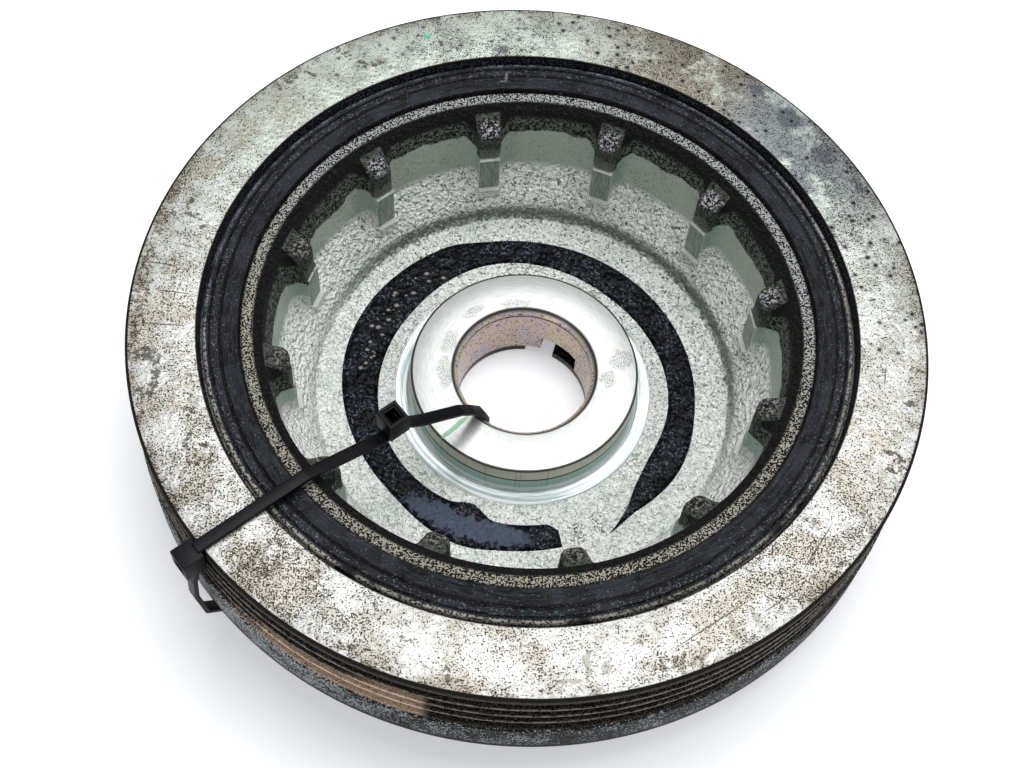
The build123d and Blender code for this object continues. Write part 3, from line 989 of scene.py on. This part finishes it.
def hubMaterial():
    finish = Finish("castHub", IOR=1.33)
    step, band, mix, noise = finish.step, finish.band, finish.mix, finish.noise
    height, radius, azimuth = finish.height, finish.radius, finish.azimuth
    coarse = noise(1.15, 2, 0.65)
    fine = noise(2.3, 1, 0.6)
    cloudy = noise(0.14, 2, 0.6)
    castFace, faceTop, ledge = hub["castFace"], hub["faceTop"], hub["ledge"]
    bore, collarRadius, collarTop = hub["bore"], hub["collar"], hub["collarTop"]
    neck, spotRadius = hub["neck"], hub["spotRadius"]
    rimRadius, rimTop = hub["rim"]
    # how far a point is from the middle of the nearest rib, in millimetres round the ring
    pitch = 360 / hub["ribs"]
    turned = azimuth - hub["ribAzimuth"] + 360
    fromRib = turned.maths("PINGPONG", turned, pitch / 2)
    fromRib = fromRib * radius * math.radians(1)
    # cast and plated: pale grey-green, with dark strokes of painted shade where the sand left
    # hollows
    # painted shade: thin dark wavy strokes stand for the shading of the cast relief
    reliefShade = finish.strokes(0.8, 0.03) * step(coarse, 0.46, 0.52)
    paint = mix(step(cloudy, 0.4, 0.65), "fdfffc", "eef5ef")
    paint = paint.under(step(fine, 0.52, 0.62) * 0.25, "a9b6ae")
    # the upper, far side of the cup, where the painted shade and the painted highlight are
    # stronger
    upper = step(finish.y + finish.x * 0.3, -12.0, 30.0)
    paint = paint.under(reliefShade * (upper * 0.4 + 0.5), "2c3530")
    # painted shade on the riser and the lower terrace, stronger on the upper side
    riserShade = band(radius + (coarse - 0.5) * 2.0, 43.8, 44.9, 0.55)
    riserShade = riserShade * step(height, hub["floor"] - 0.1, hub["floor"] + 0.6)
    terrace = step(radius, 47.6, 44.0)
    terrace = terrace * step(radius, hub["floorRadius"], hub["floorRadius"] + 0.6)
    paint = paint.under(terrace * (upper * 0.3 + 0.12), "68736b")
    paint = paint.under(riserShade * (upper * 0.72 + 0.12), "4b554e")
    # smooth pocket walls, darker than the floor as painted shade, and bluish beside the ribs
    wall = step(height, 18.4, 20.4) * step(radius, 47.0, 48.0)
    shadedWallTone = mix(step(fromRib, 5.2, 3.0), "a7b3a5", "9bb0a8")
    spotted = step(fine, 0.62, 0.68) * step(cloudy, 0.42, 0.55)
    shadedWallTone = shadedWallTone.under(spotted * 0.8, "2e332c")
    paint = paint.under(wall * 0.9, shadedWallTone)
    # dirt in the upper part of the pockets, with a sharp lower edge that dips beside the ribs
    dip = step(fromRib, 5.4, 3.2) * 1.7
    sides = band(azimuth, 236.0, 310.0, 8.0) * 3.6
    sides = sides + band(azimuth, 52.0, 132.0, 8.0) * 2.2
    tide = height + dip + sides + (cloudy - 0.5) * 4.0 + (fine - 0.5) * 1.4
    sooty = step(tide, 29.2, 29.5) * step(radius, 47.0, 47.5)
    solid = step(height + dip * 1.2 + sides * 0.3, 32.6, 34.4)
    mottle = step(coarse * 0.6 + fine * 0.4, 0.535, 0.475).atLeast(solid)
    sootTone = mix(mottle, "6c766b", "161817")
    color = mix(sooty, paint, sootTone)
    # rib noses: black, with a bright painted highlight along the middle of the top, lighter on the
    # upper side
    nose = step(height, 25.6, 26.2) * step(fromRib, 2.75, 2.55)
    noseTone = mix(step(fine * 0.5 + coarse * 0.5, 0.52, 0.58), "4e554e", "1a1c1b")
    cut = step(height + (coarse - 0.5) * 5.0, 29.4, 28.7) * step(fromRib, 2.35, 2.15)
    noseTone = noseTone.under(cut * 0.9, mix(fine, "3a3d38", "848a80"))
    color = color.under(nose, noseTone)
    # painted highlight on the top of each nose, mottled with black
    noseHighlight = step(fromRib + (coarse - 0.5) * 5.0, 2.2, 0.9)
    noseHighlight = noseHighlight * band(height, 32.6, 34.7, 0.6) * step(radius, 51.9, 50.8)
    noseHighlightTone = mix(upper, "86827a", "b4b3bb")
    patch = mix(step(fine * 0.5 + coarse * 0.5, 0.44, 0.51), noseHighlightTone, "18191b")
    color = color.under(noseHighlight, patch)
    # machined rib faces, with a painted highlight along their top and another on the ledge below
    faces = step(radius, castFace - 0.07, castFace - 0.2)
    faces = faces * band(height, ledge - 0.08, faceTop + 0.05, 0.05)
    streaks = noise(1.4, 3, 0.6, finish.stretched(2.2, 1.0, 0.25))
    faceTone = mix(step(streaks, 0.4, 0.62), "98a499", "727c73")
    color = color.under(faces, faceTone)
    # painted highlight: a pale line along the top edge of each face and along the ledge
    lines = band(height, faceTop - 0.07, faceTop + 0.3, 0.05)
    lines = lines.atLeast(band(height, ledge - 0.4, ledge + 0.08, 0.05))
    lines = lines * step(radius, castFace + 0.15, castFace + 0.01) * step(fromRib, 2.45, 2.3)
    color = color.under(lines * 0.8, "dadeda")
    # cone and rim
    cone = step(radius, 52.35, 52.6) * step(height, 34.9, 35.3)
    color = color.under(cone, mix(step(fine, 0.6, 0.7), "020202", "2a2a2b"))
    rim = step(radius, rimRadius - 0.15, rimRadius + 0.05)
    rim = rim * step(height, rimTop - 0.4, rimTop - 0.2)
    warm = band(azimuth, 95.0, 290.0, 20.0)
    rimPale = mix(warm * 0.6, "a8acaa", "a19782")
    grit = noise(3.0, 0, 0.5)
    rimGrain = coarse * 0.35 + grit * 0.65
    rimGrain = rimGrain + band(azimuth, 95.0, 190.0, 12.0) * 0.018
    rimColor = mix(step(rimGrain, 0.48, 0.53), rimPale, "0d0c0b")
    rimEdge = step(radius, rimRadius + 0.4, rimRadius + 0.05)
    rimEdge = rimEdge.atLeast(step(radius, hub["outer"] - 0.4, hub["outer"] - 0.1))
    rimColor = rimColor.under(rimEdge * 0.75, "161614")
    color = color.under(rim, rimColor)
    # scribbled smudges on the floor near the sealer's end
    smudges = finish.blots(floorSmudges, 1.0)
    color = color.under(smudges * finish.strokes(0.7, 0.03, 1.2), "3d4340")
    # machined collar, spot face and bore
    rings = noise(5.0, 2, 0.6, finish.stretched(0.02, 1.0, 0.0))
    collar = step(radius, spotRadius + 0.45, spotRadius + 0.2) * step(height, 7.0, 7.3)
    steel = mix(step(rings, 0.35, 0.7), "c4c6c4", "b0b3b1")
    outline = band(radius, collarRadius - 0.5, collarRadius, 0.06)
    outline = outline.atLeast(band(radius, bore + 0.7, bore + 1.25, 0.06))
    outline = outline * step(height, collarTop - 0.7, collarTop - 0.5)
    steel = steel.under(outline * 0.92, "181816")
    scratchy = noise(1.9, 3, 0.75, finish.stretched(0.5, 3.0, 0.0))
    scuff = finish.blots(collarScuffs, 1.2) * step(scratchy, 0.50, 0.56)
    steel = steel.under(scuff * 0.9, "55554f")
    stripe = finish.blots(collarStripe, 0.3)
    steel = steel.under(stripe * 0.85, "5f8a6d")
    onWall = step(height, collarTop - 0.15, collarTop - 0.4)
    onWall = onWall * band(radius, collarRadius - 0.6, collarRadius + 1.4, 0.1)
    bandTone = mix(step(height, neck - 0.6, neck), "a3c2b8", "b9b8a8")
    bandTone = bandTone.under(step(height, 9.2, 8.6), "dfe9ea")
    bandTone = bandTone.under(band(height, neck - 0.25, neck + 0.25, 0.06), "34372f")
    bandTone = bandTone.under(step(scratchy, 0.58, 0.66) * 0.5, "55574c")
    steel = steel.under(onWall, bandTone)
    foot = band(radius, collarRadius + 0.1, spotRadius + 0.3, 0.05) * step(height, 8.2, 7.9)
    turning = step(noise(1.6, 3, 0.7, finish.stretched(0.01, 1.0, 0.0)), 0.42, 0.6)
    steel = steel.under(foot, mix(turning, "eef2f3", "a3b3b6"))
    color = color.under(collar, steel)
    # the bore: zinc with a warm sheen, dark at both ends
    inBore = step(radius, bore + 1.3, bore + 0.2)
    sheen = noise(0.12, 2, 0.5, finish.stretched(0.35, 1.0, 1.6))
    zinc = mix(step(sheen, 0.38, 0.5), "d6c9ae", "d3bcbc")
    zinc = zinc.under(step(sheen, 0.56, 0.64) * 0.7, "bfc2ca")
    zinc = zinc.under(step(coarse * 0.4 + fine * 0.6, 0.57, 0.62) * 0.85, "2e2a26")
    zinc = zinc.under(step(height, 2.3, 1.7), "17130f")
    edges = band(height, collarTop - 1.9, collarTop - 1.4, 0.1)
    edges = edges.atLeast(step(height, collarTop - 0.9, collarTop - 0.7))
    zinc = zinc.under(edges * 0.85, "231d19")
    color = color.under(inBore, zinc)
    # the rear: below a line that rises with the slope behind the cup
    slopeStart, slopeRise = 46.8, 1.48
    back = step(height - (radius - slopeStart).atLeast(0.0) * slopeRise, 6.0, 5.6)
    back = back * step(radius, bore + 0.2, bore + 0.6)
    rearTone = mix(step(coarse, 0.53, 0.6), "9da59c", "4a4c48")
    color = color.under(back, rearTone)
    # painted shade on the walls of the window and the slots in the boss
    notchShade = band(radius, bore + 0.25, bore + 4.6, 0.05) * band(height, 0.25, 7.3, 0.1)
    color = color.under(notchShade, "1d1713")
    dirty = (sooty * (1 - noseHighlight)).atLeast(cone).atLeast(nose * (1 - noseHighlight))
    machined = collar.atLeast(inBore)
    rough = 0.34 + reliefShade * 0.10 + dirty * 0.40 - machined * 0.06
    rough = rough + scuff * 0.2 + lines * 0.2 + wall * 0.1
    metal = 0.1 - dirty * 0.1 + machined * 0.25
    texture = finish.bump(noise(1.1, 1, 0.5), 1.7, 1.0)
    polished = finish.bump(rings, 0.02, 0.3)
    smooth = machined.atLeast(faces).atLeast(rim * 0.6).atLeast(wall * (1 - sooty) * 0.7)
    blend = finish.node("Mix", {"data_type": "VECTOR"}, {0: smooth, 4: texture, 5: polished}, 1)
    return finish.feed(Base_Color=color, Roughness=rough, Metallic=metal, Normal=blend)


sealer = {
    "floor": 7.8,
    "thickness": 0.6,
    "start": 163.3,
    "end": 507.5,
    "columns": 620,
    "acrossRows": 12,
    "innerEdge": (
        (163.2, 33.6), (167.0, 31.9), (186.0, 31.7), (196.5, 29.1), (206.0, 30.6), (240.0, 31.1),
        (300.0, 30.3), (345.0, 32.0), (400.0, 30.1), (452.0, 31.2), (476.0, 30.8), (489.0, 32.2),
        (498.5, 35.0), (507.5, 37.6),
    ),
    "outerEdge": (
        (163.2, 37.3), (181.0, 37.7), (196.0, 38.7), (225.0, 37.0), (285.0, 39.2), (330.0, 39.5),
        (345.0, 38.1), (400.0, 37.1), (450.0, 36.9), (475.0, 37.7), (489.0, 37.1), (497.0, 36.6),
        (507.5, 37.65),
    ),
    "middle": 35.0,
    "endRound": 0.4,
    "edgeRound": 0.5,
    "reliefSize": 2.6,
    "reliefHeight": 0.10,
    "wall": 0.1,
    "seed": 7,
    "bubbles": 30,
    "bubbleArc": (270.0, 324.0),
    "bubbleRadii": (32.3, 36.4),
    "bubbleSizes": (0.5, 1.35),
}


lobeMarks = ((189.0, 34.5, 10.0, 2.8, 0), (204.0, 34.6, 9.0, 2.6, 0))


def smoothEdge(points, azimuth):
    # a curve through (azimuth, radius) points, without overshoot
    for index in range(len(points) - 1):
        if azimuth <= points[index + 1][0]:
            break
    before = points[max(0, index - 1)]
    start, end = points[index], points[index + 1]
    after = points[min(len(points) - 1, index + 2)]
    run = end[0] - start[0]
    share = (azimuth - start[0]) / run
    slopeIn = (end[1] - before[1]) / (end[0] - before[0]) * run
    slopeOut = (after[1] - start[1]) / (after[0] - start[0]) * run
    limit = 3 * (end[1] - start[1])
    slopeIn = max(min(slopeIn, max(limit, 0)), min(limit, 0))
    slopeOut = max(min(slopeOut, max(limit, 0)), min(limit, 0))
    square, cube = share ** 2, share ** 3
    near = (2 * cube - 3 * square + 1) * start[1] + (cube - 2 * square + share) * slopeIn
    return near + (3 * square - 2 * cube) * end[1] + (cube - square) * slopeOut


def sealerPlace(column, row):
    # a low crown between the two edges, rounded off at its start
    arc = sealer["end"] - sealer["start"]
    azimuth = sealer["start"] + arc * column / sealer["columns"]
    inner = smoothEdge(sealer["innerEdge"], azimuth)
    outer = smoothEdge(sealer["outerEdge"], azimuth)
    fromStart = (azimuth - sealer["start"]) * math.radians(1) * sealer["middle"]
    ends = min(1.0, fromStart / sealer["endRound"])
    across = row / sealer["acrossRows"]
    edge = min(1.0, min(across, 1 - across) * (outer - inner) / sealer["edgeRound"])
    crown = math.sqrt(max(0.0, 1 - (1 - min(edge, ends)) ** 2))
    lift = sealer["thickness"] * crown
    return polar(azimuth, inner + (outer - inner) * across, sealer["floor"] + 0.02 + lift)


def buildSealer():
    piece = surface("sealerBand", sealer["columns"], sealer["acrossRows"], sealerPlace, False)
    crown = sealer["floor"] + sealer["thickness"] - 0.2
    markVertices(piece, "skin", lambda radius, height: 1.0 if height > crown else 0.0)
    relief(piece, "skin", sealer["reliefSize"], sealer["reliefHeight"], 1.0)
    thicken(piece, sealer["wall"])
    chance = random.Random(sealer["seed"])
    domes = [piece]
    for _ in range(sealer["bubbles"]):
        azimuth = chance.uniform(*sealer["bubbleArc"])
        radius = chance.uniform(*sealer["bubbleRadii"])
        size = chance.uniform(*sealer["bubbleSizes"])
        bpy.ops.mesh.primitive_uv_sphere_add(segments=20, ring_count=10, radius=size * mm)
        dome = startPiece("bubble")
        dome.location = polar(azimuth, radius, sealer["floor"] + sealer["thickness"] - 0.15) * mm
        flatness = 0.16 / size + 0.26       # large bubbles are flatter
        dome.scale = (1.0, chance.uniform(0.8, 1.0), flatness)
        domes.append(dome)
    joinPieces(domes)
    return finishPiece(piece, sealerMaterial(), "sealer_band", 60.0)


def sealerMaterial():
    finish = Finish("driedSealer", IOR=1.2, Specular_IOR_Level=0.35, Coat_Roughness=0.12)
    step, mix, noise = finish.step, finish.mix, finish.noise
    coarse = noise(1.3, 2, 0.65)
    fine = noise(2.4, 1, 0.6)
    cloudy = noise(0.22, 2, 0.6)
    base = mix(step(cloudy, 0.4, 0.6), "010205", "0a0d15")
    dusty = step(coarse * 0.6 + fine * 0.4, 0.54, 0.575)
    dusty = dusty * (step(cloudy, 0.44, 0.56) * 0.65 + 0.2)
    base = base.under(dusty, "565c69")
    # the lobe at the front is paler
    lobe = finish.blots(lobeMarks, 2.2)
    base = base.under(lobe * (0.45 + coarse * 0.6), "525b6e")
    # the tops of the bubbles are wet and black
    crown = sealer["floor"] + sealer["thickness"]
    wet = step(finish.height, crown + 0.02, crown + 0.1)
    wet = wet * finish.band(finish.azimuth, 266.0, 328.0, 2.0)
    base = base.under(wet, "020305")
    rough = 0.34 + dusty * 0.2
    bump = finish.bump(noise(0.7, 1, 0.5), 0.8, 0.8)
    return finish.feed(Base_Color=base, Roughness=rough, Normal=bump, Coat_Weight=wet)


# both cable ties lie in one upright plane along this direction
ties = {
    "direction": (-0.734, -0.679, 0.0),
    "normal": (-0.679, 0.734, 0.0),
    "offset": (1.90, -2.06, 0.0),
    "strapWidth": 2.5,
    "strapThickness": 1.0,
    "strapEdge": 0.22,
    "toothPitch": 0.75,
    "toothDepth": 0.1,
    "toothMargin": 0.35,    # the strap's edges stay plain
    "pathStep": 0.19,
    "bend": 0.95,
    "headWidth": 4.6,
    "headEdge": 0.45,
    "slotInsets": ((0.62, 0.0), (0.12, -0.35), (0.30, 0.0), (0.05, -1.6)),      # thickness, depth
    "innerHead": ((33.2, 37.6), (35.4, 40.6)),
    "outerHead": ((78.6, 83.0), (34.1, 39.3)),
    # (distance along the direction, height): down the bore, under the hub and up outside
    "innerPath": (
        (34.3, 36.4), (31.9, 33.5), (29.1, 30.9), (24.2, 27.4), (19.2, 23.8), (16.4, 20.7),
        (13.6, 17.0), (12.7, 14.2), (12.7, 0.9), (26.0, 0.9), (46.0, 1.5), (70.0, 8.2),
        (77.6, 8.8), (81.0, 13.0), (82.0, 22.0), (81.4, 28.5), (79.95, 33.6), (79.9, 36.9),
    ),
    "innerTail": ((35.4, 37.0), (35.4, 40.1)),
    "outerPath": ((79.1, 39.25), (55.2, 39.25), (39.2, 34.4), (35.4, 33.9), (35.4, 40.1)),
}


def tiePlace(reach, height, across=0.0):
    # a point at a distance along the ties' direction, a height, and a distance to the side
    side = Vector(ties["normal"]) * across
    along = Vector(ties["offset"]) + Vector(ties["direction"]) * reach
    return along + side + Vector((0, 0, height))


def strapSection():
    # a rounded rectangle as (across, out) points, with one more in the middle of the toothed face
    wide, thick, edge = ties["strapWidth"] / 2, ties["strapThickness"] / 2, ties["strapEdge"]
    points = []
    quarters = ((1, 1), (-1, 1), (-1, -1), (1, -1))
    for turn, (sideX, sideY) in enumerate(quarters):
        for step in range(4):
            angle = math.pi / 2 * (turn + step / 3)
            corner = Vector((sideX * (wide - edge), sideY * (thick - edge)))
            points.append(corner + Vector((math.cos(angle), math.sin(angle))) * edge)
    points.insert(6, Vector((0.0, thick)))
    return points


def buildStrap(name, path, toothSide=1):
    bends = [(reach, height, ties["bend"]) for reach, height in path]
    line = spaced(filleted(bends, 6), ties["pathStep"])
    section = strapSection()
    travelled = lengthsAlong(line)

    def placeOf(column, row):
        before = line[max(0, column - 1)]
        after = line[min(len(line) - 1, column + 1)]
        along = (after - before).normalized()
        outward = Vector((-along.y, along.x))
        across, out = section[row % len(section)]
        # fine teeth across the middle of one face
        onFace = out * toothSide > 0.3
        if onFace and abs(across) < ties["strapWidth"] / 2 - ties["toothMargin"]:
            phase = travelled[column] / ties["toothPitch"] % 1
            out -= toothSide * ties["toothDepth"] * (1 - abs(phase * 2 - 1))
        return tiePlace(*(line[column] + outward * out), across)

    return surface(name, len(line) - 1, len(section), placeOf)


def buildHead(name, reach, height, mouthSide):
    # a rounded block with a sunk slot: in its top where mouthSide is 1, in its outer face where 0
    bpy.ops.object.select_all(action="DESELECT")
    bpy.ops.mesh.primitive_cube_add(size=mm)
    head = startPiece(name)
    head.scale = (reach[1] - reach[0], ties["headWidth"], height[1] - height[0])
    bpy.ops.object.transform_apply(location=False, rotation=False, scale=True)
    bpy.ops.object.mode_set(mode="EDIT")
    bpy.ops.mesh.select_mode(type="FACE")
    bpy.ops.object.mode_set(mode="OBJECT")
    wanted = Vector((0, 0, 1)) if mouthSide else Vector((1, 0, 0))
    for face in head.data.polygons:
        face.select = face.normal.dot(wanted) > 0.9
    bpy.ops.object.mode_set(mode="EDIT")
    for thickness, depth in ties["slotInsets"]:
        bpy.ops.mesh.inset(thickness=thickness * mm, depth=depth * mm)
    bpy.ops.object.mode_set(mode="OBJECT")
    bevel = head.modifiers.new("bevel", "BEVEL")
    bevel.width = ties["headEdge"] * mm
    bevel.segments = 4
    bevel.limit_method = "ANGLE"
    bevel.angle_limit = math.radians(60)
    bpy.ops.object.modifier_apply(modifier=bevel.name)
    middle = tiePlace(sum(reach) / 2, sum(height) / 2)
    head.location = middle * mm
    head.rotation_euler = (0, 0, math.atan2(ties["direction"][1], ties["direction"][0]))
    bpy.ops.object.transform_apply(location=True, rotation=True, scale=True)
    return head


def buildInnerTie():
    head = buildHead("innerTie", *ties["innerHead"], 1)
    strap = buildStrap("innerStrap", ties["innerPath"])
    tail = buildStrap("innerTail", ties["innerTail"])
    joinPieces([head, strap, tail])
    return finishPiece(head, nylonMaterial(head.name), "cable_tie_inner")


def buildOuterTie():
    head = buildHead("outerTie", *ties["outerHead"], 0)
    strap = buildStrap("outerStrap", ties["outerPath"], -1)
    joinPieces([head, strap])
    return finishPiece(head, nylonMaterial(head.name), "cable_tie_outer")


def nylonMaterial(name):
    finish = Finish(name + "Nylon", IOR=1.36, Specular_IOR_Level=0.25)
    fine = finish.noise(1.2, 4, 0.6)
    base = finish.mix(finish.step(fine, 0.4, 0.7), "040509", "0e1018")
    rough = 0.36 + fine * 0.14
    return finish.feed(Base_Color=base, Roughness=rough, Normal=finish.bump(fine, 0.03, 0.5))


buildRing()
buildRubber()
buildHub()
buildSealer()
buildInnerTie()
buildOuterTie()
